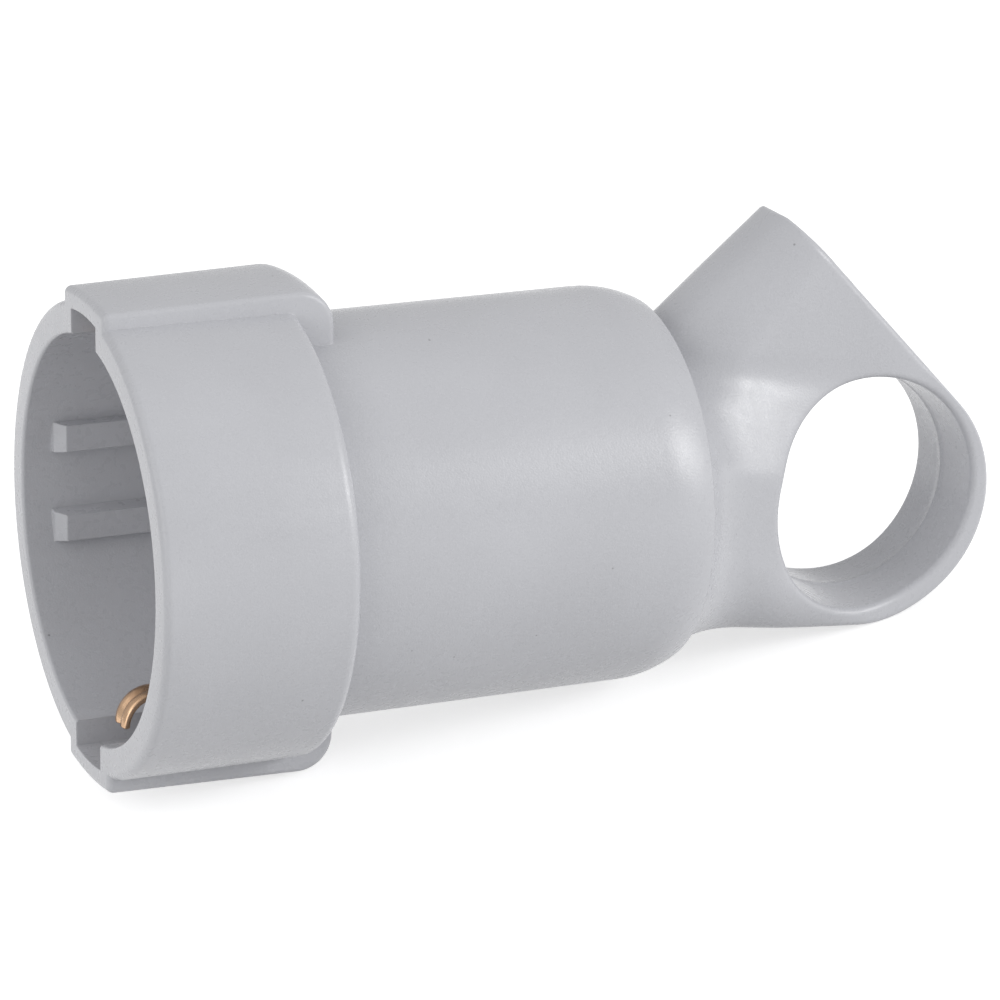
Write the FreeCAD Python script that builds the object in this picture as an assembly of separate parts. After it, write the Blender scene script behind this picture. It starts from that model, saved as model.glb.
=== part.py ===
"""In-line power socket with a finger ring: one moulded shell, one moulded handle and the works inside."""
import FreeCAD, Part
import math
import os

os.makedirs("parts", exist_ok=True)
V = FreeCAD.Vector

# Frame: X runs along the socket axis to the rear, Z is up through the keys, and the origin is the
# centre of the front rim.  All sizes are millimetres and degrees.

# Plug well
well_radius = 19.75
well_depth = 17.5
floor_thickness = 3.0
pin_spacing = 19.0
pin_hole_radius = 2.75
pin_lead_in = 0.8
rib_front = 3.0
rib_height = 2.0
rib_offset = 4.6
rib_base_half = 1.95
rib_top_half = 1.35
rib_nose = 1.0
rib_root = 1.2

# Collar and keys
collar_radius = 22.95
collar_length = 19.3
collar_round = 1.2
rim_round = 0.8
mouth_round = 0.3
key_half_width = 5.9
key_rise_front = 24.1
key_rise_rear = 24.55
key_crown_radius = 36.0
key_length = 23.0
key_rear_round = 3.5
key_front_round = 0.7
key_edge_round = 0.6
key_foot = 17.5
channel_half_width = 3.6
channel_radius = 22.25

# Grip
grip_radius = 19.6
grip_end_drop = 1.25
grip_end_run = 5.0
shell_length = 57.4
shell_wall = 2.4
root_round = 2.6
lip_chamfer = 0.25

# Fits between pieces
seat_gap = 0.1
slide_gap = 0.3
thread_gap = 0.05
seam_gap = 0.3

# Ring handle, outside
ring_reach = 23.2
ring_z = -2.4
ring_hole_radius = 11.46
ring_hole_draft = 4.0
ring_outer_radius = 13.2
face_reach = 12.8
face_angle = 47.26
underside_fall = 2.3
crest_start = 14.5
crest_angle = 39.9
edge_round = 0.7
hole_round = 0.3
# Cross sections of the handle: share of the way from the seam to the ring centre, half width,
# corner radius of the underside, height of the straight side under the arched crest
handle_sections = [
    (0.00, 16.8, 16.0, 0.5),
    (0.16, 13.2, 12.4, 5.0),
    (0.33, 10.7, 9.4, 9.8),
    (0.55, 9.0, 5.0, 15.2),
    (0.85, 8.0, 1.8, 21.0),
    (1.15, 7.4, 1.8, 26.0),
    (1.75, 6.3, 1.8, 37.0),
]
underside_trim = 2.0
arch_points = 8

# Ring handle, inside
wire_room = 3.4
neck_wall = 1.9
throat_mouth_radius = 12.6
throat_wall = 1.2
throat_radius = 6.0
throat_length = 9.0
outlet_radius = 5.0
outlet_from_tip = 8.6
outlet_depth = 20.0
outlet_lead_in = 0.6
bridge_length = 7.0
bridge_top = 3.0
bridge_bottom = -4.6
saddle_radius = 4.0
saddle_depth = 0.4

# Contact carrier and contacts
carrier_block = 12.0
carrier_wall = 1.7
leg_angle = 34.0
pin_radius = 2.4
sleeve_wall = 0.75
sleeve_slot = 0.6
sleeve_slot_length = 8.5
sleeve_setback = 0.3
chamber_radius = 4.0
terminal_side = 7.2
terminal_length = 8.3
wire_hole_radius = 1.6
wire_hole_depth = 6.0
spring_wall = 0.4
spring_length = 4.0
spring_setback = 2.0
spring_slit = 1.4

# Earth clip and its terminal
clip_thickness = 0.9
clip_width = 3.0
clip_groove_depth = 0.25
clip_groove_width = 0.7
clip_run = 16.0
clip_hump_x = 6.5
clip_hump_radius = 3.65
clip_hump_inner = 15.35
clip_fall = 6.0
clip_ease_radius = 20.0
clip_bend_radius = 1.4
clip_web_width = 7.0
clip_web_half_height = 13.5
clip_slot_half = 1.9
clip_slot_inner = 14.9
earth_z = -10.0
earth_pillar_radius = 2.6
earth_spigot_radius = 1.2

# Screws
screw_radius = 1.45
screw_head_radius = 2.2
screw_head_height = 1.6
screw_slot_width = 0.6
screw_slot_depth = 0.8
centre_head_radius = 3.0
centre_recess_depth = 1.9
insert_wall = 0.6
insert_length = 6.0
cord_screw_offset = 6.4
cord_head_radius = 2.0
bar_bottom = 8.4
bar_thickness = 1.8
bar_width = 5.0
bar_end = 2.2
nut_side = 5.0
nut_thickness = 2.0

# Places that follow from the sizes above
floor_back = well_depth + floor_thickness
bore_radius = grip_radius - shell_wall
grip_end_radius = grip_radius - grip_end_drop
neck_radius = bore_radius - slide_gap
neck_inner_radius = neck_radius - neck_wall
handle_start = shell_length + seam_gap
ring_centre = V(handle_start + ring_reach, 0, ring_z)
face_dir = V(math.cos(math.radians(face_angle)), 0, -math.sin(math.radians(face_angle)))
face_normal = V(-face_dir.z, 0, face_dir.x)
under_dir = V(math.cos(math.radians(underside_fall)), 0, -math.sin(math.radians(underside_fall)))
carrier_front = floor_back + seat_gap
carrier_back = carrier_front + carrier_block
carrier_radius = bore_radius - slide_gap
pin_y = pin_spacing / 2
web_front = carrier_front + seat_gap
web_back = web_front + clip_thickness
sleeve_radius = pin_radius + sleeve_wall
terminal_front = carrier_back + seat_gap
terminal_back = terminal_front + terminal_length
terminal_middle = terminal_front + terminal_length / 2
terminal_half = terminal_side / 2
neck_front = terminal_back + wire_room
leg_end = neck_front - seat_gap
bridge_back = neck_front + bridge_length
bridge_middle = neck_front + bridge_length / 2
insert_radius = screw_radius + thread_gap + insert_wall
bar_top = bar_bottom + bar_thickness
far = 3 * collar_radius
overcut = 1.0
half_root = math.sqrt(0.5)


def cyl(radius, x0, x1, y=0.0, z=0.0):
    """Round bar along X."""
    return Part.makeCylinder(radius, x1 - x0, V(x0, y, z), V(1, 0, 0))


def tube(outer, inner, x0, x1, y=0.0, z=0.0):
    return cyl(outer, x0, x1, y, z).cut(cyl(inner, x0, x1, y, z))


def box(x0, x1, y0, y1, z0, z1):
    return Part.makeBox(x1 - x0, y1 - y0, z1 - z0, V(x0, y0, z0))


def outline(points):
    """Closed outline through points in order."""
    return Part.makePolygon(points + points[:1])


def flipped(shape, normal):
    """Mirror image across a plane through the origin."""
    return shape.mirror(V(0, 0, 0), normal)


def save(name, shape):
    shape.exportStep("parts/" + name + ".step")


# Outer shell: collar, grip and well floor are one turned form
def shell_profile():
    """Half section of the turned form, in the XZ plane."""
    def line(a, b):
        return Part.makeLine(V(a[0], 0, a[1]), V(b[0], 0, b[1]))

    def arc(a, m, b):
        return Part.Arc(V(a[0], 0, a[1]), V(m[0], 0, m[1]), V(b[0], 0, b[1])).toShape()

    def corner(a, b, centre, radius):
        """Quarter round from a to b."""
        ma = ((a[0] + b[0]) / 2 - centre[0], (a[1] + b[1]) / 2 - centre[1])
        size = math.hypot(*ma)
        return arc(a, (centre[0] + ma[0] / size * radius, centre[1] + ma[1] / size * radius), b)

    rim_outer = (0, collar_radius - rim_round)
    collar_front = (rim_round, collar_radius)
    collar_back = (collar_length - collar_round, collar_radius)
    shoulder = (collar_length, collar_radius - collar_round)
    root_top = (collar_length, min(grip_radius + root_round, collar_radius - collar_round))
    root_depth = root_top[1] - grip_radius
    grip_front = (collar_length + root_depth, grip_radius)
    grip_back = (shell_length - grip_end_run, grip_radius)
    end_radius = (grip_end_run ** 2 + grip_end_drop ** 2) / (2 * grip_end_drop)
    half_run = grip_end_run / 2
    half_drop = end_radius - math.sqrt(end_radius ** 2 - half_run ** 2)
    lip = (shell_length, grip_end_radius)
    rim_inner = (0, well_radius + mouth_round)
    wall_front = (mouth_round, well_radius)
    edges = [
        line(rim_inner, rim_outer),
        corner(rim_outer, collar_front, (rim_round, collar_radius - rim_round), rim_round),
        line(collar_front, collar_back),
        corner(collar_back, shoulder, (collar_back[0], shoulder[1]), collar_round),
    ]
    if shoulder[1] - root_top[1] > thread_gap:
        edges.append(line(shoulder, root_top))
    edges += [
        corner(root_top, grip_front, (collar_length + root_depth, grip_radius + root_depth), root_depth),
        line(grip_front, grip_back),
        arc(grip_back, (shell_length - half_run, grip_radius - half_drop), lip),
        line(lip, (shell_length, bore_radius + lip_chamfer)),
        line((shell_length, bore_radius + lip_chamfer), (shell_length - lip_chamfer, bore_radius)),
        line((shell_length - lip_chamfer, bore_radius), (floor_back, bore_radius)),
        line((floor_back, bore_radius), (floor_back, 0)),
        line((floor_back, 0), (well_depth, 0)),
        line((well_depth, 0), (well_depth, well_radius)),
        line((well_depth, well_radius), wall_front),
        corner(wall_front, rim_inner, (mouth_round, well_radius + mouth_round), mouth_round),
    ]
    return Part.Wire(edges)


def key_section(x, rise):
    """Cross section of a raised key: straight sides under a crowned top."""
    edge = rise - key_crown_radius + math.sqrt(key_crown_radius ** 2 - key_half_width ** 2)
    left = V(x, -key_half_width, edge)
    right = V(x, key_half_width, edge)
    foot_left = V(x, -key_half_width, key_foot)
    foot_right = V(x, key_half_width, key_foot)
    return Part.Wire([
        Part.makeLine(foot_left, left),
        Part.Arc(left, V(x, 0, rise), right).toShape(),
        Part.makeLine(right, foot_right),
        Part.makeLine(foot_right, foot_left),
    ])


def raised_key():
    """Key box with a large round at its rear end and small rounds along its other top edges."""
    front = key_section(0, key_rise_front)
    rear = key_section(key_length, key_rise_rear)
    solid = Part.makeLoft([front, rear], True, True)
    for x, radius in ((key_length, key_rear_round), (0, key_front_round)):
        ends = [e for e in solid.Edges if abs(e.CenterOfMass.x - x) < seat_gap
                and e.BoundBox.XLength < seat_gap and e.BoundBox.ZMin > key_foot + seat_gap]
        solid = solid.makeFillet(radius, ends)
    sides = [e for e in solid.Edges if abs(abs(e.CenterOfMass.y) - key_half_width) < seat_gap
             and e.BoundBox.XLength > seat_gap and e.BoundBox.ZMin > key_foot + seat_gap]
    return solid.makeFillet(key_edge_round, sides)


def guide_rib(side, level):
    """One of the four ribs on the well wall that steer a plug."""
    inner = well_radius - rib_height
    outer = well_radius + rib_root
    base = [(inner, -rib_top_half), (inner, rib_top_half), (outer, rib_base_half), (outer, -rib_base_half)]
    face = Part.Face(outline([V(rib_front, side * y, level + z) for y, z in base]))
    rib = face.extrude(V(well_depth - rib_front, 0, 0))
    nose = [e for e in rib.Edges if e.BoundBox.XMax < rib_front + seat_gap
            and abs(abs(e.CenterOfMass.y) - inner) < seat_gap]
    return rib.makeChamfer(rib_nose, nose)


shell = Part.Face(shell_profile()).revolve(V(0, 0, 0), V(1, 0, 0), 360)
hollow = cyl(well_radius + mouth_round, 0, well_depth).fuse(cyl(bore_radius, well_depth, key_length))
top_key = raised_key().cut(hollow)
shell = shell.fuse([top_key, flipped(top_key, V(0, 0, 1))])
channel = box(-overcut, well_depth, -channel_half_width, channel_half_width, -far, far)
shell = shell.cut(channel.common(cyl(channel_radius, -overcut, well_depth)))
shell = shell.fuse([guide_rib(s, t * rib_offset) for s in (-1, 1) for t in (-1, 1)])
clip_slot = box(well_depth, floor_back, -clip_slot_half, clip_slot_half,
                clip_slot_inner, clip_run + clip_thickness / 2 + slide_gap)
for side in (-1, 1):
    shell = shell.cut(cyl(pin_hole_radius, well_depth, floor_back, side * pin_y))
    shell = shell.cut(Part.makeCone(pin_hole_radius + pin_lead_in, pin_hole_radius, pin_lead_in,
                                    V(well_depth, side * pin_y, 0), V(1, 0, 0)))
    shell = shell.cut(clip_slot if side > 0 else flipped(clip_slot, V(0, 0, 1)))
shell = shell.cut(cyl(screw_radius + slide_gap, well_depth, floor_back))
shell = shell.cut(cyl(centre_head_radius + slide_gap, well_depth, well_depth + centre_recess_depth))
save("outer_shell", shell.removeSplitter())


# Ring handle: one smooth skin lofted along X, trimmed by the outline seen from the side
def crest_at(x):
    return crest_start + math.tan(math.radians(crest_angle)) * (x - handle_start)


def underside_at(x):
    touch = ring_centre + V(under_dir.z, 0, -under_dir.x) * ring_outer_radius
    return touch.z + under_dir.z / under_dir.x * (x - touch.x)


def handle_section(share, half, corner, side_top):
    """Cross section of the handle: rounded underside, straight sides, arched crest."""
    x = handle_start + share * ring_reach
    low = underside_at(x) - underside_trim
    knee = corner * (1 - half_root)
    top = crest_at(x) - side_top
    turns = [math.pi * i / arch_points for i in range(arch_points + 1)]
    arch = Part.BSplineCurve()
    arch.interpolate([V(x, half * math.cos(t), side_top + top * math.sin(t)) for t in turns])
    return Part.Wire([
        Part.makeLine(V(x, corner - half, low), V(x, half - corner, low)),
        Part.Arc(V(x, half - corner, low), V(x, half - knee, low + knee),
                 V(x, half, low + corner)).toShape(),
        Part.makeLine(V(x, half, low + corner), V(x, half, side_top)),
        arch.toShape(),
        Part.makeLine(V(x, -half, side_top), V(x, -half, low + corner)),
        Part.Arc(V(x, -half, low + corner), V(x, knee - half, low + knee),
                 V(x, corner - half, low)).toShape(),
    ])


def side_outline():
    """The handle seen from the side: straight underside, ring, flat outlet face."""
    def on_ring(angle):
        return ring_centre + V(math.cos(angle), 0, math.sin(angle)) * ring_outer_radius

    first = -math.pi / 2 - math.radians(underside_fall)
    last = math.pi / 2 - math.radians(face_angle) - math.acos(face_reach / ring_outer_radius)
    start = V(handle_start, 0, underside_at(handle_start))
    beyond = on_ring(last) - face_dir * far
    back = V(handle_start, 0, beyond.z)
    return Part.Wire([
        Part.makeLine(start, on_ring(first)),
        Part.Arc(on_ring(first), on_ring((first + last) / 2), on_ring(last)).toShape(),
        Part.makeLine(on_ring(last), beyond),
        Part.makeLine(beyond, back),
        Part.makeLine(back, start),
    ])


skin = Part.makeLoft([handle_section(*row) for row in handle_sections], True, False)
plate = Part.Face(side_outline())
plate.translate(V(0, -far, 0))
handle = skin.common(plate.extrude(V(0, 2 * far, 0)))


def rim_edges(solid):
    """Edges round the outlet face, the ring and the underside."""
    trims = [f for f in solid.Faces if f.Surface.TypeId != "Part::GeomBSplineSurface"
             and f.CenterOfMass.x > handle_start + seat_gap]
    edges = [e for f in trims for e in f.Edges]
    return [e for e in edges if e.BoundBox.XLength > seat_gap or e.BoundBox.ZLength > seat_gap]


def hole_edges(solid):
    """Mouths of the finger hole, where its cones meet the sides."""
    cones = [f for f in solid.Faces if f.Surface.TypeId == "Part::GeomCone"]
    edges = [e for f in cones for e in f.Edges]
    return [e for e in edges if min(abs(e.BoundBox.YMin), abs(e.BoundBox.YMax)) > seat_gap]


handle = handle.makeFillet(edge_round, rim_edges(handle))
hole_length = 2 * max(row[1] for row in handle_sections)
hole_mouth = ring_hole_radius + math.tan(math.radians(ring_hole_draft)) * hole_length
for side in (-1, 1):
    handle = handle.cut(Part.makeCone(ring_hole_radius, hole_mouth, hole_length, ring_centre, V(0, side, 0)))
handle = handle.makeFillet(hole_round, hole_edges(handle))

# The neck is a tube inside the grip, with a bridge across it for the centre screw and the cord clamp
crest_from = V(handle_start, 0, crest_start)
crest_dir = V(math.cos(math.radians(crest_angle)), 0, math.sin(math.radians(crest_angle)))
to_face = face_reach - (crest_from - ring_centre).dot(face_normal)
face_tip = crest_from + crest_dir * (to_face / crest_dir.dot(face_normal))
outlet_centre = face_tip + face_dir * outlet_from_tip
neck = cyl(neck_radius, neck_front, shell_length)
neck = neck.fuse(cyl(throat_mouth_radius + throat_wall, shell_length, handle_start))
bridge_y = neck_inner_radius + neck_wall / 2
bridge = box(neck_front, bridge_back, -bridge_y, bridge_y, bridge_bottom, bridge_top)
bridge = bridge.cut(cyl(saddle_radius, neck_front, bridge_back, 0, bridge_top - saddle_depth + saddle_radius))
throat = Part.makeCone(throat_mouth_radius, throat_radius, throat_length, V(handle_start, 0, 0), V(1, 0, 0))
outlet = Part.makeCylinder(outlet_radius, outlet_depth, outlet_centre, face_normal * -1)
outlet_mouth = Part.makeCone(outlet_radius + outlet_lead_in, outlet_radius, outlet_lead_in, outlet_centre,
                             face_normal * -1)
handle = handle.fuse(neck).cut([throat, outlet, outlet_mouth])
handle = handle.cut(cyl(neck_inner_radius, neck_front, shell_length - neck_wall))
handle = handle.cut(cyl(throat_mouth_radius, shell_length - neck_wall, handle_start))
handle = handle.fuse(bridge)
handle = handle.cut(cyl(insert_radius + thread_gap, neck_front, bridge_back))
for side in (-1, 1):
    handle = handle.cut(Part.makeCylinder(screw_radius + thread_gap, bridge_top - bridge_bottom,
                                          V(bridge_middle, side * cord_screw_offset, bridge_bottom)))
save("ring_handle", handle)

# Contact carrier: an insulating block with chambers for the contacts and four legs to the neck
carrier = cyl(carrier_radius, carrier_front, leg_end)
carrier = carrier.cut(cyl(carrier_radius - carrier_wall, carrier_back, leg_end))
for quarter in (0, 90, 180, 270):
    span = math.radians(90 - leg_angle) / 2
    reach = 2 * carrier_radius
    window = outline([V(carrier_back, 0, 0), V(carrier_back, reach * math.cos(span), reach * math.sin(span)),
                      V(carrier_back, reach * math.cos(span), -reach * math.sin(span))])
    window = Part.Face(window).extrude(V(leg_end - carrier_back, 0, 0))
    window.rotate(V(0, 0, 0), V(1, 0, 0), quarter)
    carrier = carrier.cut(window)
carrier = carrier.cut(box(carrier_front, web_back + seat_gap, -clip_web_width / 2 - slide_gap,
                          clip_web_width / 2 + slide_gap, -carrier_radius, carrier_radius))
for side in (-1, 1):
    carrier = carrier.cut(cyl(chamber_radius, carrier_front, carrier_back, side * pin_y))
carrier = carrier.cut(cyl(earth_pillar_radius + thread_gap, carrier_front, carrier_back, 0, earth_z))
carrier = carrier.cut(cyl(screw_radius + slide_gap, carrier_front, carrier_back))
save("contact_carrier", carrier)


# Live and neutral contacts: slotted sleeves that grip the plug pins, each with its terminal block
def screw_bore(shape, place, direction):
    return shape.cut(Part.makeCylinder(screw_radius + thread_gap, terminal_half, place, direction))


def terminal_block(y, z, outward):
    """Brass block with a wire hole from the rear and a screw hole from the outside."""
    block = box(terminal_front, terminal_back, y - terminal_half, y + terminal_half,
                z - terminal_half, z + terminal_half)
    block = block.cut(cyl(wire_hole_radius, terminal_back - wire_hole_depth, terminal_back, y, z))
    return screw_bore(block, V(terminal_middle, y, z), outward)


def pin_contact(side):
    y = side * pin_y
    front = carrier_front + sleeve_setback
    sleeve = tube(sleeve_radius, pin_radius, front, terminal_front, y)
    for half_y, half_z in ((sleeve_radius, sleeve_slot / 2), (sleeve_slot / 2, sleeve_radius)):
        sleeve = sleeve.cut(box(front, front + sleeve_slot_length, y - half_y, y + half_y, -half_z, half_z))
    return sleeve.fuse(terminal_block(y, 0, V(0, side, 0)))


def pin_spring(side):
    """Open steel ring round a slotted sleeve."""
    y = side * pin_y
    front = carrier_front + spring_setback
    inner = sleeve_radius + thread_gap
    ring = tube(inner + spring_wall, inner, front, front + spring_length, y)
    slit = box(front, front + spring_length, y - spring_slit / 2, y + spring_slit / 2, 0, chamber_radius)
    return ring.cut(slit)


save("live_contact", pin_contact(-1))
save("neutral_contact", pin_contact(1))
save("contact_springs", Part.makeCompound([pin_spring(-1), pin_spring(1)]))


# Earth clip: one strip bent into a web behind the floor and two sprung arms in the well
def clip_arm():
    """Upper arm, swept along its centre line from the web to the turned-out tip."""
    def at(x, z):
        return V(x, 0, z)

    fall = math.radians(clip_fall)
    hump = at(clip_hump_x, clip_hump_inner + clip_hump_radius)
    crown = hump + at(math.sin(fall), -math.cos(fall)) * clip_hump_radius
    tip = hump - at(clip_hump_radius, 0)
    mid = hump - at(math.cos((math.pi / 2 - fall) / 2), math.sin((math.pi / 2 - fall) / 2)) * clip_hump_radius
    drop = clip_ease_radius * (1 - math.cos(fall))
    slope_end_z = clip_run - drop
    slope_end = at(crown.x + (slope_end_z - crown.z) / math.tan(fall), slope_end_z)
    level = at(slope_end.x + clip_ease_radius * math.sin(fall), clip_run)
    ease_drop = clip_ease_radius * (1 - math.cos(fall / 2))
    ease_mid = at(level.x - clip_ease_radius * math.sin(fall / 2), clip_run - ease_drop)
    web_x = (web_front + web_back) / 2
    bend_start = at(web_x - clip_bend_radius, clip_run)
    bend_end = at(web_x, clip_run - clip_bend_radius)
    bend_mid = at(web_x - clip_bend_radius * (1 - half_root), clip_run - clip_bend_radius * (1 - half_root))
    path = Part.Wire([
        Part.Arc(tip, mid, crown).toShape(),
        Part.makeLine(crown, slope_end),
        Part.Arc(slope_end, ease_mid, level).toShape(),
        Part.makeLine(level, bend_start),
        Part.Arc(bend_start, bend_mid, bend_end).toShape(),
        Part.makeLine(bend_end, at(web_x, clip_web_half_height - clip_thickness)),
    ])
    w = clip_width / 2
    t = clip_thickness / 2
    g = clip_groove_width / 2
    inner = tip.x - t
    strip = [(inner, -w), (inner, -g), (inner + clip_groove_depth, 0), (inner, g), (inner, w),
             (tip.x + t, w), (tip.x + t, -w)]
    section = outline([V(x, y, tip.z) for x, y in strip])
    return path.makePipeShell([section], True, False)


arm = clip_arm()
web_half = clip_web_width / 2
web = box(web_front, web_back, -web_half, web_half, -clip_web_half_height, clip_web_half_height)
clip = web.fuse([arm, flipped(arm, V(0, 0, 1))])
clip = clip.cut(cyl(screw_radius + slide_gap, web_front, web_back))
clip = clip.cut(cyl(earth_spigot_radius + thread_gap, web_front, web_back, 0, earth_z))
save("earth_clip", clip)

pillar = cyl(earth_pillar_radius, web_back, terminal_front, 0, earth_z)
spigot = cyl(earth_spigot_radius, web_front, web_back, 0, earth_z)
save("earth_terminal", terminal_block(0, earth_z, V(0, 0, -1)).fuse([pillar, spigot]))


# Screws
def slotted_screw(seat, direction, shank_radius, shank_length, head_radius):
    """Cheese head screw: the shank runs from the seat along direction, the head sits behind it."""
    shank = Part.makeCylinder(shank_radius, shank_length, seat, direction)
    head = Part.makeCylinder(head_radius, screw_head_height, seat, direction * -1)
    screw = shank.fuse(head)
    blade = Part.makeBox(2 * head_radius, screw_slot_width, screw_slot_depth,
                         V(-head_radius, -screw_slot_width / 2, screw_head_height - screw_slot_depth))
    turn = FreeCAD.Rotation(V(0, 0, 1), direction * -1)
    blade.Placement = FreeCAD.Placement(seat, turn).multiply(blade.Placement)
    return screw.cut(blade)


terminal_reach = terminal_half - wire_hole_radius
terminal_screws = [
    slotted_screw(V(terminal_middle, side * (pin_y + terminal_half + thread_gap), 0), V(0, -side, 0),
                  screw_radius, terminal_reach, screw_head_radius)
    for side in (-1, 1)
]
terminal_screws.append(slotted_screw(V(terminal_middle, 0, earth_z - terminal_half - thread_gap), V(0, 0, 1),
                                     screw_radius, terminal_reach, screw_head_radius))
save("terminal_screws", Part.makeCompound(terminal_screws))

centre_seat = well_depth + centre_recess_depth - thread_gap
save("centre_screw", slotted_screw(V(centre_seat, 0, 0), V(1, 0, 0), screw_radius,
                                   neck_front + insert_length - centre_seat, centre_head_radius))
save("centre_insert", tube(insert_radius, screw_radius + thread_gap, neck_front + seat_gap,
                           neck_front + seat_gap + insert_length))

# Cord clamp: a bar pulled down on the saddle of the bridge by two screws with square nuts
bar_y = cord_screw_offset + bar_end
bar = box(bridge_middle - bar_width / 2, bridge_middle + bar_width / 2, -bar_y, bar_y, bar_bottom, bar_top)
nut_top = bridge_bottom - thread_gap
nut_bottom = nut_top - nut_thickness
cord_screws = []
cord_nuts = []
for side in (-1, 1):
    y = side * cord_screw_offset
    clamp_hole = Part.makeCylinder(screw_radius + thread_gap, bar_thickness, V(bridge_middle, y, bar_bottom))
    bar = bar.cut(clamp_hole)
    seat = V(bridge_middle, y, bar_top + thread_gap)
    cord_screws.append(slotted_screw(seat, V(0, 0, -1), screw_radius, seat.z - nut_bottom, cord_head_radius))
    nut = box(bridge_middle - nut_side / 2, bridge_middle + nut_side / 2,
              y - nut_side / 2, y + nut_side / 2, nut_bottom, nut_top)
    thread = Part.makeCylinder(screw_radius + thread_gap, nut_thickness, V(bridge_middle, y, nut_bottom))
    cord_nuts.append(nut.cut(thread))
save("cord_clamp_bar", bar)
save("cord_clamp_screws", Part.makeCompound(cord_screws))
save("cord_clamp_nuts", Part.makeCompound(cord_nuts))
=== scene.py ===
# %% [markdown]
# # An in-line power socket with a finger ring
#
# The socket is two grey mouldings screwed together: a round shell with the plug well in front, and
# a handle behind it that ends in a finger ring and a slanted cable outlet. The solids come from the
# CAD frame in metres, with the mouth of the well at the origin, +X to the rear and +Z up. This
# lesson makes the handle, the shell and the earth clip once more with finer forms, gives every piece
# its finish, and sets up camera and light.

# %% Load the CAD frame
import math

import bmesh
import bpy
from mathutils import Matrix, Vector


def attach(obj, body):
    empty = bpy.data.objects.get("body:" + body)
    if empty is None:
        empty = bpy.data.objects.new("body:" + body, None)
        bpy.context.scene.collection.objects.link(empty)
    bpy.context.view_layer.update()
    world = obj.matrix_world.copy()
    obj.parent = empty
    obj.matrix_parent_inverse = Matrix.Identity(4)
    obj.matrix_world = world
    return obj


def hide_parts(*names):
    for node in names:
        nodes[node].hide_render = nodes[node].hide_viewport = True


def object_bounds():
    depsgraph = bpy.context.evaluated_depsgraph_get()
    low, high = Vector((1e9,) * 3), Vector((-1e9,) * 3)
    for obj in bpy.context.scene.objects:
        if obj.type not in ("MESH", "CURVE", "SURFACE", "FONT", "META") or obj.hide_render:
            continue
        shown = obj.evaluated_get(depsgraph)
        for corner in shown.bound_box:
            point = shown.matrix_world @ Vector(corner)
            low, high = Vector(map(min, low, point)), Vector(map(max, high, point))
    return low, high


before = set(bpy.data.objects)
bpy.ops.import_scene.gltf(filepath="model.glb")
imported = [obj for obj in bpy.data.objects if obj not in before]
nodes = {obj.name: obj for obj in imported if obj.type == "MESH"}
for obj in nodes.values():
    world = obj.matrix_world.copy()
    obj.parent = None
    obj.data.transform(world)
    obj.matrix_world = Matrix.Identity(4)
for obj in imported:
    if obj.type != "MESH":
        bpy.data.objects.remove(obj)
cad_low, cad_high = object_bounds()
mm = 0.001
print("nodes:", sorted(nodes))
print("CAD box in mm:", [round(v / mm, 1) for v in (*cad_low, *cad_high)])

# %% [markdown]
# ## Camera
#
# The photograph was taken from the front left and a little above, with a long lens from close to
# half a metre, so the far side of the collar looks only slightly smaller than the near side. The
# camera's place was found by fitting the round rim, the collar and the ring. A camera looks along
# its own -Z, so its matrix is made of three directions: right, up and back.

# %% Place the camera
turn = math.radians(-23.53)
height = math.radians(17.66)
roll = math.radians(-0.90)
camera_place = Vector((-133.91, -405.80, 140.21)) * mm
picture_width = 36.0
focal_length = 170.03

back = Vector((math.sin(turn) * math.cos(height), -math.cos(turn) * math.cos(height), math.sin(height)))
level = Vector((math.cos(turn), math.sin(turn), 0))
upright = back.cross(level)
right = level * math.cos(roll) - upright * math.sin(roll)
up = level * math.sin(roll) + upright * math.cos(roll)

bpy.ops.object.select_all(action="DESELECT")
bpy.ops.object.camera_add()
camera = bpy.context.object
camera.name = "photo_camera"
camera.data.sensor_width = picture_width
camera.data.lens = focal_length
camera.data.clip_start = 10 * mm
camera.data.clip_end = 20
axes = Matrix((right, up, back)).transposed().to_4x4()
camera.matrix_world = Matrix.Translation(camera_place) @ axes
bpy.context.scene.camera = camera
print("camera to mouth of the well: %.0f mm" % (camera_place.length / mm))

# %% [markdown]
# ## The handle
#
# The rear moulding starts as wide as the grip, falls away to a hollow saddle and narrows to a slim
# finger ring, while a tube for the cord climbs out of its back to a slanted face. No straight loft
# gives such a saddle, so this piece is bent from one sheet. Seen from the side, the handle has an
# outline with a round hole in it. At each point of that side view it has a half width, put together
# from a flank that tapers, a shoulder that leans in, the side of the tube and a rounded underside.
# The outline, the hole and a few section sizes are all it needs.

# %% Side view of the handle
# a point of the side view is a pair of x and z
seam = 57.7 * mm
ring_reach = 23.4 * mm
ring_middle = Vector((81.1, -3.15)) * mm
ring_radius = 13.15 * mm
hole_middle = Vector((80.45, -2.30)) * mm
hole_radius = 11.46 * mm
hole_draft = math.tan(math.radians(4.0))
underside_fall = math.radians(6.3)
face_angle = math.radians(47.26)
crest_start = 14.7 * mm
crest_angle = math.radians(40.4)
ring_first = -math.pi / 2 - underside_fall
ring_last = math.pi / 2 - face_angle


def on_ring(angle):
    """A point of the ring's outline in the side view."""
    return ring_middle + Vector((math.cos(angle), math.sin(angle))) * ring_radius


def underside(x):
    """Height of the straight underside, which runs out of the ring."""
    touch = on_ring(ring_first)
    return touch.y - (x - touch.x) * math.tan(underside_fall)


print("underside at the seam: %.1f mm" % (underside(seam) / mm))

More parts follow.
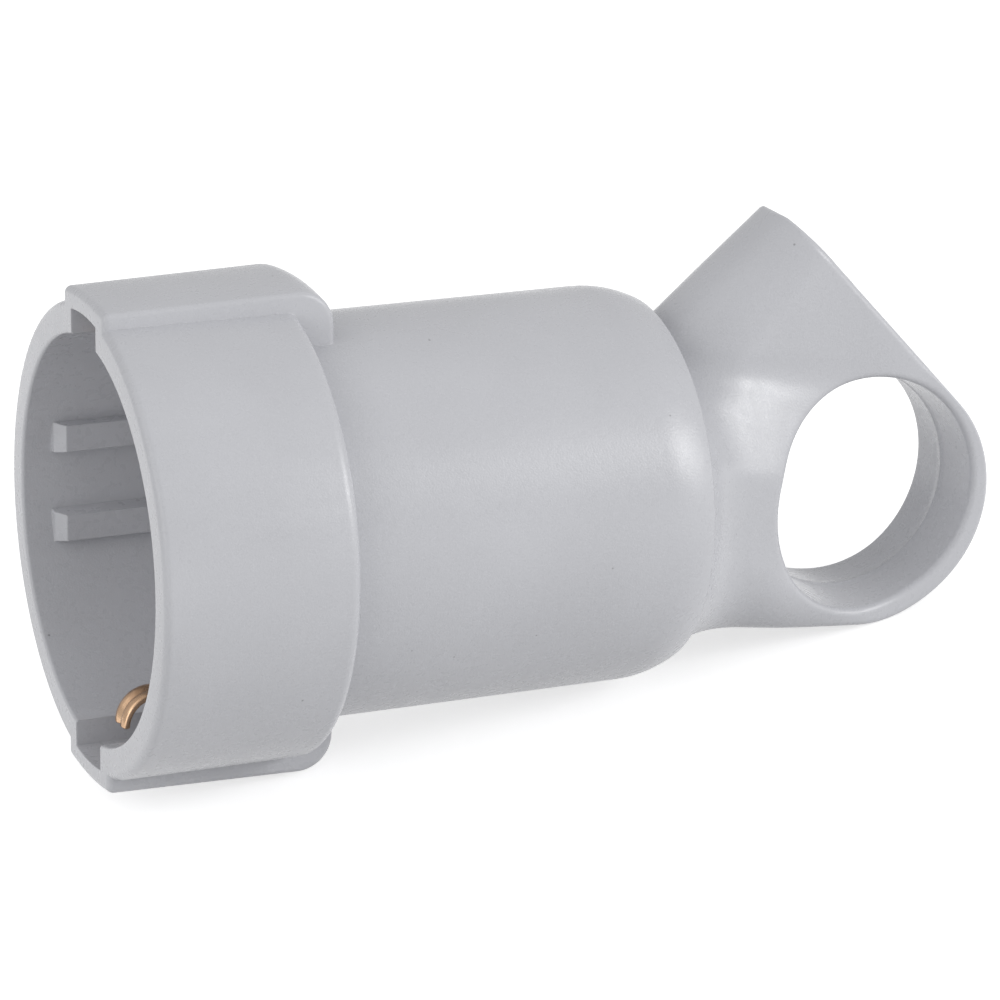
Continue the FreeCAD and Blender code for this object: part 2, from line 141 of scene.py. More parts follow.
# %% Sections along the handle
# share of the way from the seam to the middle of the ring, then in mm the half widths of flank and
# tube, and the round of the lower corner
sections = [
    (0.00, 16.8, 7.4, 13.6),
    (0.08, 14.5, 7.4, 11.9),
    (0.16, 13.0, 7.4, 11.4),
    (0.24, 12.1, 7.35, 11.2),
    (0.33, 11.45, 7.3, 10.7),
    (0.45, 10.7, 7.0, 9.2),
    (0.55, 9.85, 6.75, 7.6),
    (0.85, 7.6, 6.1, 4.2),
    (1.15, 6.2, 6.2, 2.2),
    (1.75, 6.1, 6.1, 1.8),
]


def between(share, entry):
    """A smooth curve through one entry of the sections."""
    rows = [(row[0], row[entry] * mm) for row in sections]
    i = max(0, min(len(rows) - 2, sum(row[0] <= share for row in rows) - 1))

    def steepness(k):
        a = rows[max(0, k - 1)]
        b = rows[min(len(rows) - 1, k + 1)]
        return (b[1] - a[1]) / (b[0] - a[0])

    run = rows[i + 1][0] - rows[i][0]
    t = (share - rows[i][0]) / run
    return ((2 * t**3 - 3 * t**2 + 1) * rows[i][1] + (t**3 - 2 * t**2 + t) * run * steepness(i)
            + (3 * t**2 - 2 * t**3) * rows[i + 1][1] + (t**3 - t**2) * run * steepness(i + 1))


print("flank halfway to the ring: %.1f mm" % (between(0.5, 1) / mm))

# %% [markdown]
# Two lines run along the side of the handle. At the crease the upright flank bends into the shoulder,
# and in the valley the shoulder meets the tube. Both fall a little towards the ring, and both are
# soft, so each is blended over a couple of millimetres.

# %% Half width at any point of the side view
crease_start, crease_fall, crease_bend = 5.2 * mm, math.radians(17.2), 2.0 * mm
valley_start, valley_fall, valley_bend = 13.2 * mm, math.radians(9.6), 2.4 * mm
underside_trim = 2.0 * mm
crest_reached = 0.99999


def half_width(x, z):
    """Half the width of the handle at one point of its side view."""
    flank, tube, corner = (between((x - seam) / ring_reach, entry) for entry in (1, 2, 3))
    crease = crease_start - (x - seam) * math.tan(crease_fall)
    valley = valley_start - (x - seam) * math.tan(valley_fall)
    crest = crest_start + (x - seam) * math.tan(crest_angle)
    spring = crest - tube / math.cos(crest_angle)

    def tube_side(h):
        lift = max(0.0, (h - spring) / (crest - spring))
        return tube * math.sqrt(1 - lift * lift) if lift < crest_reached else 0.0

    slope = (flank - tube_side(valley)) / (valley - crease)
    lean = flank - slope * (z - crease)
    soft = slope * crease_bend / 2
    shoulder = (flank + lean - math.hypot(flank - lean, soft)) / 2
    share = max(0.0, min(1.0, (z - valley) / (2 * valley_bend) + 0.5))
    width = shoulder + (tube_side(z) - shoulder) * share * share * (3 - 2 * share)
    rise = underside(x) - underside_trim + corner - z
    if rise > 0:
        width = min(width, flank - corner + math.sqrt(max(0.0, corner**2 - rise**2)))
    return width


print("half width at the saddle: %.1f mm" % (half_width(66 * mm, 3 * mm) / mm))

# %% [markdown]
# The sheet has columns that run from the finger hole to the outline, spaced round the ring, up the
# slanted face, over the tip, down the crest of the tube, down the seam and back along the underside.
# Each column starts at the middle of the hole, where the two halves of the mould meet and leave a
# hair-fine ridge, climbs the drafted wall, rolls over the rim, crosses the side, rolls over the outer
# edge and ends in the middle plane again. The other half is its mirror image.

# %% The slanted face and its tip
tip_round = 1.0 * mm
face_way = Vector((-math.cos(face_angle), math.sin(face_angle)))
crest_way = Vector((-math.cos(crest_angle), -math.sin(crest_angle)))
face_foot = on_ring(ring_last)
crest_foot = Vector((seam, crest_start))
seam_foot = Vector((seam, underside(seam)))
face_length = (crest_foot - face_foot).cross(crest_way) / face_way.cross(crest_way)
tip = face_foot + face_way * face_length
tip_turn = math.acos(face_way.dot(crest_way))
tip_cut = tip_round * math.tan(tip_turn / 2)
face_end = tip - face_way * tip_cut
tip_middle = face_end + Vector((-face_way.y, face_way.x)) * tip_round
tip_arm = face_end - tip_middle
print("tip at", [round(v / mm, 1) for v in tip])

# %% Columns round the outline
ring_columns, face_columns, tip_columns = 72, 56, 12
crest_columns, seam_columns, underside_columns = 36, 48, 32
quarter = math.pi / 2


def evenly(a, b, count):
    """Places from a towards b, without b itself."""
    return [a.lerp(b, i / count) for i in range(count)]


def turned(arm, angle):
    """An arm of the side view, turned about its foot."""
    return Vector((arm.x * math.cos(angle) - arm.y * math.sin(angle),
                   arm.x * math.sin(angle) + arm.y * math.cos(angle)))


# each entry is a place and how far the outer edge is rolled over there, from 0 to 1
outline = [(on_ring(ring_first + (ring_last - ring_first) * i / ring_columns), 1.0)
           for i in range(ring_columns)]
outline += [(face_foot.lerp(face_end, math.sin(quarter * i / face_columns)), 1.0)
            for i in range(face_columns)]
outline += [(tip_middle + turned(tip_arm, tip_turn * i / tip_columns), 1 - i / tip_columns)
            for i in range(tip_columns)]
outline += [(place, 0.0) for place in evenly(tip + crest_way * tip_cut, crest_foot, crest_columns)]
outline += [(place, 0.0) for place in evenly(crest_foot, seam_foot, seam_columns)]
outline += [(place, 1.0) for place in evenly(seam_foot, on_ring(ring_first), underside_columns)]
print(len(outline), "columns")

# %% One column of the sheet
rim_round = 0.7 * mm
hole_round = 0.7 * mm
ridge_height, ridge_shoulder = 0.05 * mm, 0.03 * mm
ridge_half, ridge_foot = 0.05 * mm, 0.12 * mm
wall_steps, mouth_steps, side_steps, edge_steps = 6, 7, 56, 6
# the rolled edge takes at most these shares of the half width and of the way to the outline, and
# where the outline runs almost along the column, it is drawn out no more than this slant allows
edge_share, run_share, least_slant = 0.7, 0.45, 0.35
draft_rounds = 6


def column(place, rolled, along):
    """Points from the middle of the hole's wall to the middle of the outline, on the viewer's side."""
    way = (place - hole_middle).normalized()
    reach = (place - hole_middle).length
    outward = Vector((along.y, -along.x))

    def width(d):
        p = hole_middle + way * d
        return half_width(p.x, p.y)

    # the draft widens the hole with the half width, which changes with the place, so both settle in turns
    wall = hole_radius
    for _ in range(draft_rounds):
        wall = hole_radius + hole_draft * width(wall)
    mouth = width(wall) - hole_round
    points = [(hole_radius - ridge_height, 0.0), (hole_radius - ridge_shoulder, ridge_half)]
    for i in range(wall_steps):
        y = ridge_foot + (mouth - ridge_foot) * i / wall_steps
        points.append((hole_radius + hole_draft * y, y))
    for i in range(mouth_steps):
        a = quarter * i / mouth_steps
        d = hole_radius + hole_draft * mouth + hole_round * (1 - math.cos(a))
        points.append((d, width(d) - hole_round * (1 - math.sin(a))))
    start = hole_radius + hole_draft * mouth + hole_round
    end = half_width(place.x, place.y)
    edge = min(rim_round, edge_share * end) * rolled
    run = min(edge / max(least_slant, way.dot(outward)), run_share * (reach - start))
    for i in range(side_steps):
        d = start + (reach - run - start) * math.sin(quarter * i / side_steps)
        points.append((d, width(d)))
    for i in range(edge_steps):
        a = quarter * i / edge_steps
        d = reach - run + run * math.sin(a)
        points.append((d, width(d) - edge * (1 - math.cos(a))))
    points += [(reach, (end - edge) * (1 - i / edge_steps)) for i in range(edge_steps + 1)]
    flat = [(hole_middle + way * d, y) for d, y in points]
    return [Vector((p.x, -y, p.y)) for p, y in flat]


columns = []
for k, (place, rolled) in enumerate(outline):
    along = outline[(k + 1) % len(outline)][0] - outline[k - 1][0]
    columns.append(column(place, rolled, along.normalized()))
rows = len(columns[0])
print(rows, "points in each column")

# %% Helpers for meshes
same_place = 0.002 * mm


def pick(*pieces):
    """Selects these pieces alone and makes the last one active."""
    bpy.ops.object.select_all(action="DESELECT")
    for piece in pieces:
        piece.select_set(True)
    bpy.context.view_layer.objects.active = pieces[-1]


def tidy_mesh(piece):
    """Joins points that lie on each other and turns all faces outwards."""
    pick(piece)
    bpy.ops.object.mode_set(mode="EDIT")
    bpy.ops.mesh.select_all(action="SELECT")
    bpy.ops.mesh.remove_doubles(threshold=same_place)
    bpy.ops.mesh.dissolve_degenerate(threshold=same_place / 2)
    bpy.ops.mesh.normals_make_consistent(inside=False)
    bpy.ops.object.mode_set(mode="OBJECT")


def apply_all(piece):
    """Applies every modifier of a piece, in order."""
    pick(piece)
    for modifier in list(piece.modifiers):
        bpy.ops.object.modifier_apply(modifier=modifier.name)


def select_open_edges():
    """In edit mode, selects the edges that lack a face on one side."""
    bpy.ops.mesh.select_mode(type="EDGE")
    bpy.ops.mesh.select_all(action="DESELECT")
    bpy.ops.mesh.select_non_manifold()


def open_edges(piece):
    """Counts the edges that do not have a face on both sides."""
    mesh = bmesh.new()
    mesh.from_mesh(piece.data)
    count = sum(len(e.link_faces) != 2 for e in mesh.edges)
    mesh.free()
    return count


# %% Bend the sheet and mirror it
bpy.ops.object.select_all(action="DESELECT")
bpy.ops.mesh.primitive_grid_add(x_subdivisions=len(columns), y_subdivisions=rows - 1, size=1)
handle = bpy.context.object
handle.name = "finger_ring_handle"
across = len(columns) + 1
for v in handle.data.vertices:
    v.co = columns[v.index % across % len(columns)][v.index // across]
tidy_mesh(handle)
mirror = handle.modifiers.new("other_half", "MIRROR")
mirror.use_axis = (False, True, False)
mirror.merge_threshold = 0.01 * mm
apply_all(handle)
tidy_mesh(handle)
print("handle:", len(handle.data.polygons), "faces,", open_edges(handle), "open edges")

# %% [markdown]
# The cord leaves through a round hole in the slanted face. The lining of the hole is modelled as a
# cup: a circle on the face, pulled in for a chamfer that spares the cord a sharp edge, then drawn down
# along the outlet and closed. The flat face of the sheet is taken away, and the ring between its
# outline and the mouth of the cup is filled again.

# %% Lining of the cord outlet
outlet_radius = 5.0 * mm
outlet_depth = 21 * mm
outlet_up_face = 19.33 * mm
chamfer = 0.5 * mm
outlet_way = Vector((math.sin(face_angle), 0, math.cos(face_angle)))
on_slant = face_foot + face_way * outlet_up_face
outlet_mouth = Vector((on_slant.x, 0, on_slant.y))
narrow = outlet_radius / (outlet_radius + chamfer)
bpy.ops.object.select_all(action="DESELECT")
bpy.ops.mesh.primitive_circle_add(vertices=96, radius=outlet_radius + chamfer, location=outlet_mouth,
                                  rotation=outlet_way.to_track_quat("Z", "Y").to_euler())
lining = bpy.context.object
bpy.ops.object.transform_apply(location=True, rotation=True, scale=True)
bpy.ops.object.mode_set(mode="EDIT")
bpy.ops.mesh.select_mode(type="EDGE")
bpy.ops.mesh.select_all(action="SELECT")
bpy.ops.mesh.extrude_edges_move(TRANSFORM_OT_translate={"value": -outlet_way * chamfer})
bpy.ops.transform.resize(value=(narrow, narrow, narrow),
                         center_override=outlet_mouth - outlet_way * chamfer)
bpy.ops.mesh.extrude_edges_move(TRANSFORM_OT_translate={"value": -outlet_way * outlet_depth})
bpy.ops.mesh.edge_face_add()
bpy.ops.object.mode_set(mode="OBJECT")
print("lining:", len(lining.data.polygons), "faces,", open_edges(lining), "open edges at its mouth")

# %% Open the slanted face and join the lining
flat_within = 0.004 * mm
same_way = 0.9999
pick(handle)
bpy.ops.object.mode_set(mode="EDIT")
bpy.ops.mesh.select_mode(type="FACE")
bpy.ops.mesh.select_all(action="DESELECT")
bpy.ops.object.mode_set(mode="OBJECT")
on_face = 0
for face in handle.data.polygons:
    face.select = (abs((face.center - outlet_mouth).dot(outlet_way)) < flat_within
                   and face.normal.dot(outlet_way) > same_way)
    on_face += face.select
bpy.ops.object.mode_set(mode="EDIT")
bpy.ops.mesh.delete(type="FACE")
bpy.ops.object.mode_set(mode="OBJECT")
pick(lining, handle)
bpy.ops.object.join()
bpy.ops.object.mode_set(mode="EDIT")
select_open_edges()
bpy.ops.mesh.fill()
bpy.ops.mesh.select_all(action="SELECT")
bpy.ops.mesh.normals_make_consistent(inside=False)
bpy.ops.object.mode_set(mode="OBJECT")
print("outlet:", on_face, "faces opened,", open_edges(handle), "open edges left")

# %% [markdown]
# The neck in front of the seam plugs into the grip and is hidden in it. It is taken from the CAD
# handle: a copy of its mesh, merged, cut off just behind the seam, closed there and joined on.

# %% Neck from the CAD handle
past_seam = 0.4 * mm


def cad_copy(node_name, name):
    """A free copy of a CAD node, with its points merged and its stored normals cleared."""
    piece = bpy.data.objects.new(name, nodes[node_name].data.copy())
    bpy.context.scene.collection.objects.link(piece)
    pick(piece)
    bpy.ops.mesh.customdata_custom_splitnormals_clear()
    tidy_mesh(piece)
    print(name, "copied from", node_name, "with", len(piece.data.vertices), "points")
    return piece


neck = cad_copy("ring_handle", "neck")
bpy.ops.object.mode_set(mode="EDIT")
bpy.ops.mesh.select_all(action="SELECT")
bpy.ops.mesh.bisect(plane_co=(seam + past_seam, 0, 0), plane_no=(1, 0, 0), clear_outer=True)
select_open_edges()
bpy.ops.mesh.fill()
bpy.ops.object.mode_set(mode="OBJECT")
print("neck:", len(neck.data.polygons), "faces,", open_edges(neck), "open edges")
pick(neck, handle)
bpy.ops.object.join()
bpy.ops.object.shade_smooth_by_angle(angle=math.radians(35))
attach(handle, "root")
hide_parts("ring_handle")
print("handle piece:", len(handle.data.polygons), "faces")

# %% [markdown]
# ## A crisp step behind the collar
#
# On the real shell the collar ends in a crisp step, and the grip right behind it lies in its shade.
# The CAD shell has a wide round in that inner corner, which fills the shade with light. A copy of its
# mesh is reworked: the first half of the round is pushed flat against the back of the collar, the
# second half is pushed down onto the grip, and what was a round becomes a corner.

# %% Rework the step
collar_end = 19.3 * mm
grip_radius = 19.6 * mm
inner_round = 2.15 * mm
slack, on_round_within = 0.01 * mm, 0.03 * mm
shell = cad_copy("outer_shell", "socket_shell")
moved = 0
for v in shell.data.vertices:
    radius = math.hypot(v.co.y, v.co.z)
    along = collar_end + inner_round - v.co.x
    above = grip_radius + inner_round - radius
    off_round = abs(math.hypot(along, above) - inner_round)
    if min(along, above) < -slack or off_round > on_round_within:
        continue
    share = math.atan2(above, along) / (math.pi / 4)
    new_radius = grip_radius + inner_round * max(0.0, 1 - share)
    v.co.x = collar_end + inner_round * max(0.0, share - 1)
    v.co.y *= new_radius / radius
    v.co.z *= new_radius / radius
    moved += 1
pick(shell)
bpy.ops.object.shade_smooth_by_angle(angle=math.radians(25))
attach(shell, "root")
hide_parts("outer_shell")
print("shell:", moved, "points of the round moved,", open_edges(shell), "open edges")

# %% [markdown]
# ## Earth clip
#
# The earth contact is one bronze strip. It is drawn with round edges and a groove along the side that
# meets the plug, then bent into two arms with a hump near each tip. The arm is modelled the way it
# is bent: the section of the strip is drawn once at the tip, spun a quarter turn about the middle of
# the hump and pushed on into the floor of the well. The lower arm is the mirror image, and the plate
# behind the floor is taken from the CAD clip.

# %% Section of the strip
strip_width, strip_thickness = 3.0 * mm, 0.9 * mm
groove_width, groove_depth = 1.0 * mm, 0.28 * mm
flat_sides, flat_faces = 0.55, 0.75
hump_middle = Vector((6.5, 0, 19.0)) * mm
hump_radius = 3.0 * mm
bpy.ops.object.select_all(action="DESELECT")
bpy.ops.mesh.primitive_circle_add(vertices=64, radius=1.0, fill_type="NGON",
                                  location=hump_middle - Vector((hump_radius, 0, 0)))
clip = bpy.context.object
clip.name = "rounded_earth_clip"
bpy.ops.object.transform_apply(location=True, rotation=True, scale=True)
tip_x = hump_middle.x - hump_radius
for v in clip.data.vertices:
    sideways, through = v.co.y, v.co.x - tip_x
    y = math.copysign(abs(sideways) ** flat_sides, sideways) * strip_width / 2
    x = math.copysign(abs(through) ** flat_faces, through) * strip_thickness / 2
    if through < 0:
        x += groove_depth * max(0.0, 1 - (2 * y / groove_width) ** 2)
    v.co.x, v.co.y = tip_x + x, y
print("strip: %.1f by %.1f mm, %d points round its section"
      % (strip_width / mm, strip_thickness / mm, len(clip.data.vertices)))

# %% Bend one arm and mirror it
arm_end = 18.2 * mm
bpy.ops.object.mode_set(mode="EDIT")
bpy.ops.mesh.select_mode(type="FACE")
bpy.ops.mesh.select_all(action="SELECT")
bpy.ops.mesh.spin(steps=28, angle=quarter, center=hump_middle, axis=(0, 1, 0))
bpy.ops.mesh.extrude_region_move(TRANSFORM_OT_translate={"value": (arm_end - hump_middle.x, 0, 0)})
select_open_edges()
bpy.ops.mesh.edge_face_add()
bpy.ops.mesh.select_all(action="SELECT")
bpy.ops.mesh.normals_make_consistent(inside=False)
bpy.ops.object.mode_set(mode="OBJECT")
bevel = clip.modifiers.new("soft_tip", "BEVEL")
bevel.width = 0.15 * mm
bevel.segments = 3
bevel.limit_method = "ANGLE"
bevel.angle_limit = math.radians(50)
mirror = clip.modifiers.new("lower_arm", "MIRROR")
mirror.use_axis = (False, False, True)
mirror.use_mirror_merge = False
apply_all(clip)
print("two arms:", len(clip.data.polygons), "faces,", open_edges(clip), "open edges")

# %% Plate from the CAD clip
plate_start = 17.7 * mm
plate = cad_copy("earth_clip", "plate")
bpy.ops.object.mode_set(mode="EDIT")
bpy.ops.mesh.select_all(action="SELECT")
bpy.ops.mesh.bisect(plane_co=(plate_start, 0, 0), plane_no=(1, 0, 0), use_fill=True, clear_inner=True)
bpy.ops.object.mode_set(mode="OBJECT")
pick(plate, clip)
bpy.ops.object.join()
bpy.ops.object.shade_smooth_by_angle(angle=math.radians(40))
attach(clip, "root")
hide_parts("earth_clip")
print("earth clip:", len(clip.data.polygons), "faces,", open_edges(clip), "open edges")

# %% [markdown]
# ## Grey moulded plastic
#
# Shell and handle are the same light, slightly bluish grey, moulded in a tool whose walls were spark
# eroded. That leaves a fine matt grain of about a fifth of a millimetre, which breaks soft glows into
# sparkle. Close to it, the plastic also varies a little in tone where it flowed, carries a few dark
# specks, and is smoother along its edges, where a paler tone is painted on as a highlight. Noise at
# three sizes makes the tone, the roughness and the bump, a Voronoi pattern places the specks, and the
# Bevel node finds the edges and rounds their highlight.


# %% A small kit for finishes
class Finish:
    """Builds one material, node by node, on the object's own coordinates."""

    def __init__(self, name):
        self.material = bpy.data.materials.new(name)
        self.material.use_nodes = True
        self.tree = self.material.node_tree
        self.shader = self.tree.nodes["Principled BSDF"]
        self.place = self.add("ShaderNodeTexCoord").outputs["Object"]

    def add(self, kind, **values):
        node = self.tree.nodes.new(kind)
        for key, value in values.items():
            setattr(node, key, value)
        return node

    def link(self, a, b):
        self.tree.links.new(a, b)

    def give(self, entry, value):
        """Hands a value to one of the shader's inputs."""
        self.link(value, self.shader.inputs[entry])

    def noise(self, size, detail=2.0, stretch=None):
        """Noise whose blobs are about size metres across."""
        node = self.add("ShaderNodeTexNoise")
        node.inputs["Scale"].default_value = 1 / size
        node.inputs["Detail"].default_value = detail
        place = self.place
        if stretch:
            mapping = self.add("ShaderNodeMapping")
            mapping.inputs["Scale"].default_value = stretch
            self.link(place, mapping.inputs["Vector"])
            place = mapping.outputs[0]
        self.link(place, node.inputs["Vector"])
        return node.outputs["Fac"]

    def span(self, value, low, high, to_low, to_high):
        """Takes the part of a value between low and high to a new span."""
        node = self.add("ShaderNodeMapRange")
        spans = {"From Min": low, "From Max": high, "To Min": to_low, "To Max": to_high}
        for key, number in spans.items():
            node.inputs[key].default_value = number
        self.link(value, node.inputs["Value"])
        return node.outputs[0]

    def combine(self, kind, a, b):
        """Adds, subtracts or multiplies two values."""
        node = self.add("ShaderNodeMath", operation=kind)
        for socket, value in zip(node.inputs, (a, b)):
            if isinstance(value, (int, float)):
                socket.default_value = value
            else:
                self.link(value, socket)
        return node.outputs[0]

    def mix(self, share, first, second):
        """Colour between two colours, or between a colour so far and a new one."""
        node = self.add("ShaderNodeMix", data_type="RGBA")
        self.link(share, node.inputs[0])
        for socket, colour in ((node.inputs[6], first), (node.inputs[7], second)):
            if isinstance(colour, tuple):
                socket.default_value = (*colour, 1)
            else:
                self.link(colour, socket)
        return node.outputs[2]

    def edges(self, radius):
        """Rounded normal at edges, and how much it turns: 0 on flats, towards 1 on an edge."""
        bevel = self.add("ShaderNodeBevel", samples=6)
        bevel.inputs["Radius"].default_value = radius
        flat = self.add("ShaderNodeNewGeometry")
        dot = self.add("ShaderNodeVectorMath", operation="DOT_PRODUCT")
        self.link(bevel.outputs[0], dot.inputs[0])
        self.link(flat.outputs["Normal"], dot.inputs[1])
        return bevel.outputs[0], self.span(dot.outputs["Value"], 0.99, 0.75, 0, 1)

    def bump(self, heights, distance, strength, normal):
        """Bump of the given heights on top of a normal."""
        node = self.add("ShaderNodeBump")
        node.inputs["Strength"].default_value = strength
        node.inputs["Distance"].default_value = distance
        self.link(heights, node.inputs["Height"])
        self.link(normal, node.inputs["Normal"])
        return node.outputs[0]

    def wear(self, piece):
        """Puts the finish on a CAD node or a new piece."""
        piece.data.materials.clear()
        piece.data.materials.append(self.material)
        print(self.material.name, "->", piece.name)


# %% The grey plastic
shell_grey = (0.515, 0.520, 0.548)
# the last of these greys is the colour of a painted highlight along the edges
grain_grey, speck_grey, painted_edge_highlight_grey = (0.75, 0.75, 0.77), (0.12, 0.12, 0.12), (0.70, 0.71, 0.73)
cloud_size, pore_size, grain_size = 14 * mm, 0.9 * mm, 0.20 * mm
speck_spacing = 4.5 * mm


def grey_plastic(name):
    """Light grey plastic with the grain of a spark-eroded mould."""
    finish = Finish(name)
    clouds = finish.noise(cloud_size, 3)
    grain = finish.noise(grain_size)
    pores = finish.noise(pore_size)
    speck = finish.add("ShaderNodeTexVoronoi", feature="F1")
    speck.inputs["Scale"].default_value = 1 / speck_spacing
    finish.link(finish.place, speck.inputs["Vector"])
    dots = finish.span(speck.outputs["Distance"], 0.032, 0.018, 0, 0.55)
    normal, edge = finish.edges(0.22 * mm)
    pale = tuple(c * 1.025 for c in shell_grey)
    deep = tuple(c * 0.975 for c in shell_grey)
    colour = finish.mix(finish.span(clouds, 0.35, 0.65, 0, 1), deep, pale)
    colour = finish.mix(finish.span(grain, 0.3, 0.75, 0, 0.04), colour, grain_grey)
    colour = finish.mix(dots, colour, speck_grey)
    # painted highlight: the edges are mixed towards a paler grey
    colour = finish.mix(finish.combine("MULTIPLY", edge, 0.14), colour, painted_edge_highlight_grey)
    finish.give("Base Color", colour)
    rough = finish.span(pores, 0.3, 0.7, 0.25, 0.33)
    smoother = finish.combine("MULTIPLY", edge, 0.12)
    finish.give("Roughness", finish.combine("SUBTRACT", rough, smoother))
    heights = finish.combine("ADD", grain, finish.combine("MULTIPLY", pores, 0.6))
    finish.give("Normal", finish.bump(heights, 0.03 * mm, 0.55, normal))
    return finish


grey_plastic("shell_grey_plastic").wear(shell)
grey_plastic("handle_grey_plastic").wear(handle)

# %% [markdown]
# ## Works inside
#
# Behind the well floor sit an off-white carrier, brass sleeves that take the pins, steel springs and
# plated screws. From outside one sees only the bronze arms of the earth clip, the screw in the floor
# and a glint of brass in the pin holes, but every piece gets its own finish, because the socket can
# be shown opened.


# %% Metals
def metal(name, bright, dull, rough, grain_size, stretch):
    """Bare metal: drawn or turned grain, a thin tarnish in patches, and a painted highlight that makes
    the edges a little brighter.
    """
    finish = Finish(name)
    grain = finish.noise(grain_size, 3, stretch)
    patches = finish.noise(2.2 * mm, 4)
    normal, edge = finish.edges(0.12 * mm)
    # painted highlight: the edges get a brighter colour than the flats
    brighter = tuple(min(1, c * 1.25) for c in bright)
    colour = finish.mix(finish.span(patches, 0.35, 0.7, 0, 1), bright, dull)
    colour = finish.mix(finish.combine("MULTIPLY", edge, 0.6), colour, brighter)
    finish.give("Base Color", colour)
    finish.shader.inputs["Metallic"].default_value = 1.0
    finish.give("Roughness", finish.span(patches, 0.3, 0.75, rough - 0.07, rough + 0.1))
    finish.give("Normal", finish.bump(grain, 0.01 * mm, 0.25, normal))
    return finish


brass = metal("turned_brass", (0.72, 0.50, 0.20), (0.52, 0.35, 0.14), 0.27, 0.10 * mm, (9, 1, 1))
steel = metal("spring_strip", (0.55, 0.55, 0.55), (0.42, 0.42, 0.43), 0.30, 0.08 * mm, (1, 1, 9))
zinc = metal("zinc_plate", (0.66, 0.66, 0.63), (0.52, 0.52, 0.50), 0.33, 0.30 * mm, (1, 1, 1))
bronze = metal("bronze_strip", (0.80, 0.54, 0.35), (0.46, 0.29, 0.18), 0.24, 0.09 * mm, (1, 8, 1))
for name in ("live_contact", "neutral_contact", "earth_terminal", "centre_insert"):
    brass.wear(nodes[name])
steel.wear(nodes["contact_springs"])
for name in ("terminal_screws", "centre_screw", "cord_clamp_bar", "cord_clamp_screws", "cord_clamp_nuts"):
    zinc.wear(nodes[name])
bronze.wear(clip)

# %% The carrier
carrier = Finish("off_white_plastic")
clouds = carrier.noise(8 * mm, 3)
grain = carrier.noise(0.5 * mm)
normal, edge = carrier.edges(0.2 * mm)
tone = carrier.mix(carrier.span(clouds, 0.35, 0.65, 0, 1), (0.70, 0.68, 0.61), (0.75, 0.73, 0.67))
# painted highlight: the edges of the carrier are mixed towards a paler tone
tone = carrier.mix(carrier.combine("MULTIPLY", edge, 0.3), tone, (0.82, 0.80, 0.75))
carrier.give("Base Color", tone)
carrier.give("Roughness", carrier.span(grain, 0.3, 0.7, 0.36, 0.44))
carrier.give("Normal", carrier.bump(grain, 0.02 * mm, 0.15, normal))
carrier.wear(nodes["contact_carrier"])

# %% [markdown]
# ## Studio
#
# The picture has a white background and very even light, as in a white tent, for which an even world
# stands. Two softboxes on the right leave soft glows on the rounded end of the grip and on the handle,
# and two larger ones on the left light the front of the collar. The floor is a plain pale sheet in the
# plane on which the socket comes to rest, on the lower key and the underside of the ring. Light Path
# lifts the world and the floor to white where the camera looks at them, so that the white of the
# background adds no light to the socket.

# %% White tent
tent_level, white = 0.61, 1.0


def brighter_when_seen(tree, rays, level, seen_level):
    """A strength with one level for lighting and another for what two kinds of ray see."""
    path = tree.nodes.new("ShaderNodeLightPath")
    either = tree.nodes.new("ShaderNodeMath")
    either.operation = "MAXIMUM"
    for ray, socket in zip(rays, either.inputs):
        tree.links.new(path.outputs[ray], socket)
    strength = tree.nodes.new("ShaderNodeMapRange")
    strength.inputs["To Min"].default_value = level
    strength.inputs["To Max"].default_value = seen_level
    tree.links.new(either.outputs[0], strength.inputs["Value"])
    return strength.outputs[0]


bpy.context.scene.view_settings.view_transform = "Standard"
world = bpy.data.worlds.new("white_tent")
bpy.context.scene.world = world
world.use_nodes = True
tree = world.node_tree
tree.nodes.clear()
out = tree.nodes.new("ShaderNodeOutputWorld")
tent = tree.nodes.new("ShaderNodeBackground")
tent.inputs["Color"].default_value = (1.0, 1.0, 1.0, 1)
strength = brighter_when_seen(tree, ("Is Camera Ray", "Is Transmission Ray"), tent_level, white)
tree.links.new(strength, tent.inputs["Strength"])
tree.links.new(tent.outputs[0], out.inputs["Surface"])
print("tent lights with", tent_level, "and is seen as", white)

# %% Softboxes
middle = (cad_low + cad_high) / 2
lamp_distance = 1.0


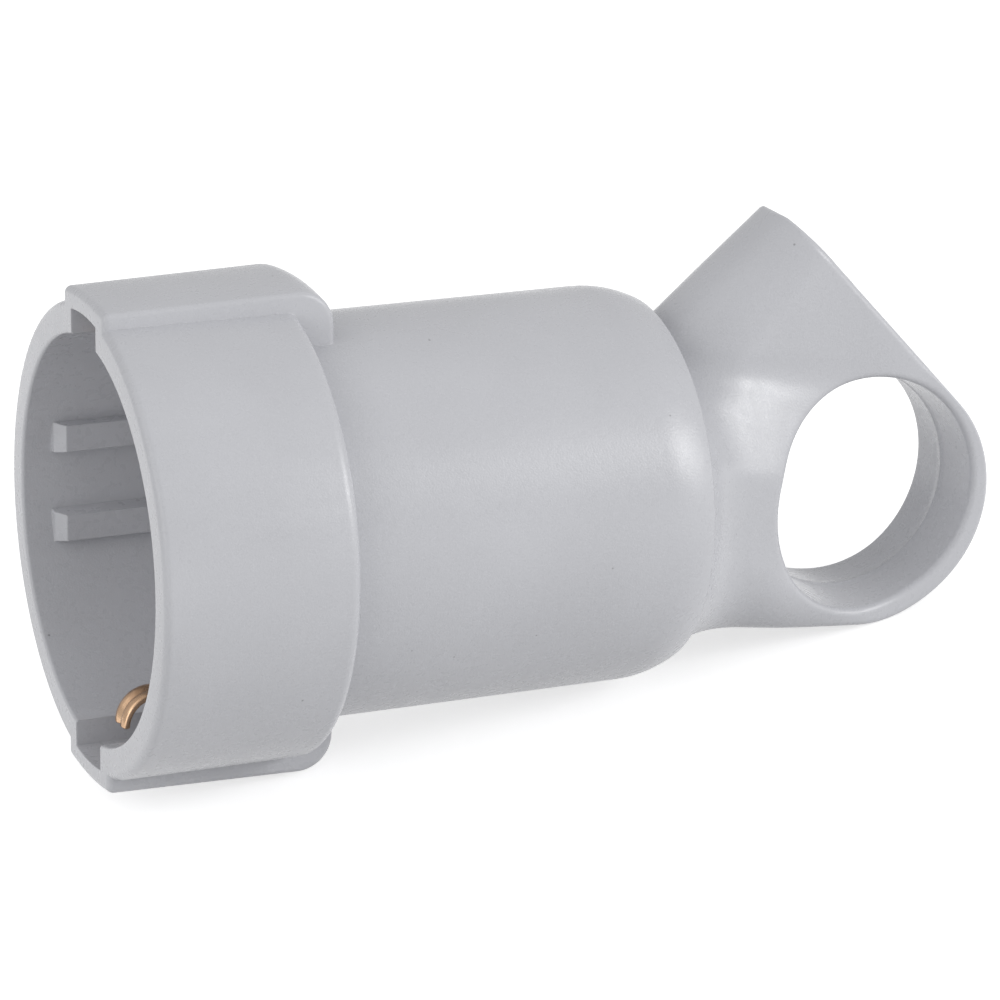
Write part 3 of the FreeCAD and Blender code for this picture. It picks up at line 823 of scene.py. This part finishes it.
def softbox(name, azimuth, elevation, size, watts):
    """A square lamp that faces the middle of the object; azimuth 0 is the viewer's side, 90 the rear."""
    a = math.radians(azimuth)
    e = math.radians(elevation)
    way = Vector((math.sin(a) * math.cos(e), -math.cos(a) * math.cos(e), math.sin(e)))
    bpy.ops.object.select_all(action="DESELECT")
    bpy.ops.object.light_add(type="AREA", location=middle + way * lamp_distance)
    lamp = bpy.context.object
    lamp.name = name
    lamp.data.shape = "SQUARE"
    lamp.data.size = size
    lamp.data.energy = watts
    lamp.rotation_mode = "QUATERNION"
    lamp.rotation_quaternion = way.to_track_quat("Z", "Y")
    print(name, "at", [round(v, 2) for v in lamp.location])


softbox("right_softbox", 45, 25, 0.38, 2.9)
softbox("right_low_softbox", 60, 15, 0.42, 1.8)
softbox("left_softbox", -85, 40, 0.7, 1.2)
softbox("front_softbox", -60, 10, 0.7, 1.75)

# %% Pale floor in the plane of rest
floor_side = 6.0
floor_gap = 0.05 * mm
floor_grey, floor_glow = 0.70, 0.66
behind_key = 20 * mm
key_z, key_x = min((v.co.z, v.co.x) for v in nodes["outer_shell"].data.vertices)
lean = min(math.atan2(v.co.z - key_z, v.co.x - key_x)
           for v in handle.data.vertices if v.co.x > key_x + behind_key)
bpy.ops.object.select_all(action="DESELECT")
bpy.ops.mesh.primitive_plane_add(size=floor_side, location=(key_x, 0, key_z - floor_gap),
                                 rotation=(0, -lean, 0))
floor = bpy.context.object
floor.name = "pale_floor"
paper = bpy.data.materials.new("pale_paper")
paper.use_nodes = True
tree = paper.node_tree
tree.nodes.clear()
out = tree.nodes.new("ShaderNodeOutputMaterial")
both = tree.nodes.new("ShaderNodeAddShader")
sheet = tree.nodes.new("ShaderNodeBsdfDiffuse")
sheet.inputs["Color"].default_value = (floor_grey, floor_grey, floor_grey, 1)
glow = tree.nodes.new("ShaderNodeEmission")
strength = brighter_when_seen(tree, ("Is Camera Ray", "Is Glossy Ray"), 0.0, floor_glow)
tree.links.new(strength, glow.inputs["Strength"])
tree.links.new(sheet.outputs[0], both.inputs[0])
tree.links.new(glow.outputs[0], both.inputs[1])
tree.links.new(both.outputs[0], out.inputs["Surface"])
floor.data.materials.append(paper)
print("the floor leans %.1f degrees to meet key and ring" % math.degrees(lean))
